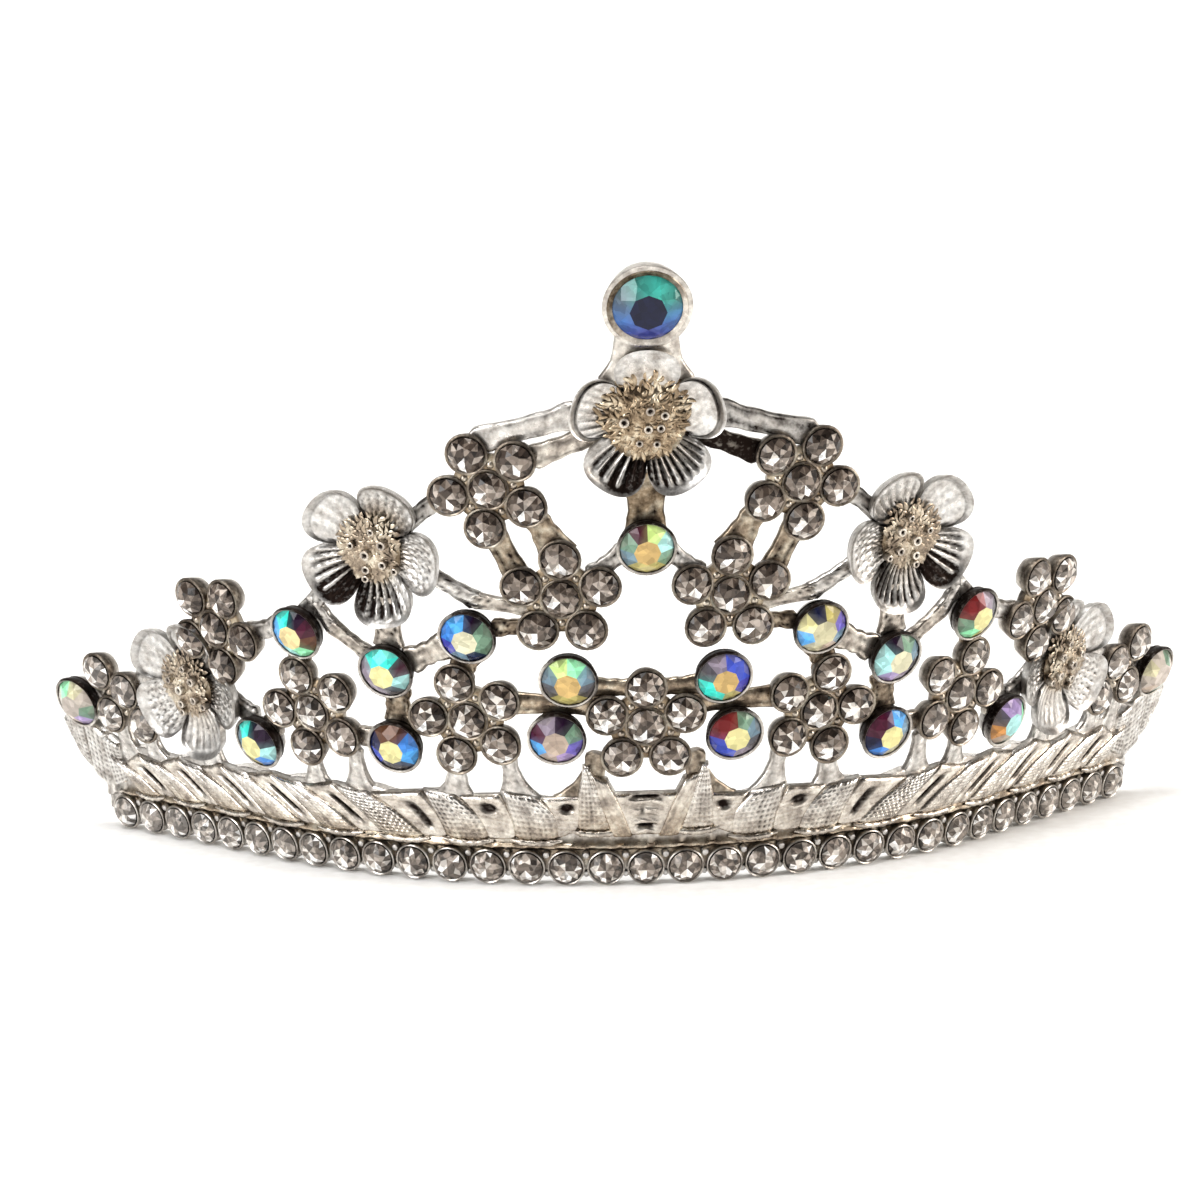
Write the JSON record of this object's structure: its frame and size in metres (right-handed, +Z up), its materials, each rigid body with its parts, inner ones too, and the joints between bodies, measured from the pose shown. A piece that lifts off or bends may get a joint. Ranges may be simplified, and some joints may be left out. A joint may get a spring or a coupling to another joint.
{
  "type": "rhinestone tiara",
  "caption": "Small openwork tiara: a curved wall of cast flowers, cups and bars set with round cut stones, on a leaf band and a stone rail.",
  "frame": {"origin": "middle of the underside of the tiara's bounding box", "axes": "+X to the right as seen from in front, +Y from the front of the tiara back between its ends, +Z up"},
  "size_m": [0.0938, 0.0403, 0.0499],
  "materials": {
    "silver_plate": "bright cast silver plating",
    "rainbow_glass": "foil-backed cut glass with a rainbow coating",
    "clear_glass": "foil-backed clear cut glass"
  },
  "bodies": {
    "root": {"tiara_frame": "silver_plate", "rail_stones": "clear_glass", "rainbow_stone_top": "rainbow_glass", "rainbow_stone_centre": "rainbow_glass", "clear_stones_centre": "clear_glass", "rainbow_stone_right_1": "rainbow_glass", "rainbow_stone_left_1": "rainbow_glass", "rainbow_stone_right_2": "rainbow_glass", "rainbow_stone_left_2": "rainbow_glass", "rainbow_stone_right_3": "rainbow_glass", "rainbow_stone_left_3": "rainbow_glass", "rainbow_stone_right_4": "rainbow_glass", "rainbow_stone_left_4": "rainbow_glass", "rainbow_stone_right_5": "rainbow_glass", "rainbow_stone_left_5": "rainbow_glass", "rainbow_stone_right_6": "rainbow_glass", "rainbow_stone_left_6": "rainbow_glass", "rainbow_stone_right_7": "rainbow_glass", "rainbow_stone_left_7": "rainbow_glass", "rainbow_stone_right_8": "rainbow_glass", "rainbow_stone_left_8": "rainbow_glass", "clear_stones_right_1": "clear_glass", "clear_stones_left_1": "clear_glass", "clear_stones_right_2": "clear_glass", "clear_stones_left_2": "clear_glass", "clear_stones_right_3": "clear_glass", "clear_stones_left_3": "clear_glass", "clear_stones_right_4": "clear_glass", "clear_stones_left_4": "clear_glass", "clear_stones_right_5": "clear_glass", "clear_stones_left_5": "clear_glass", "clear_stones_right_6": "clear_glass", "clear_stones_left_6": "clear_glass"}
  },
  "joints": []
}
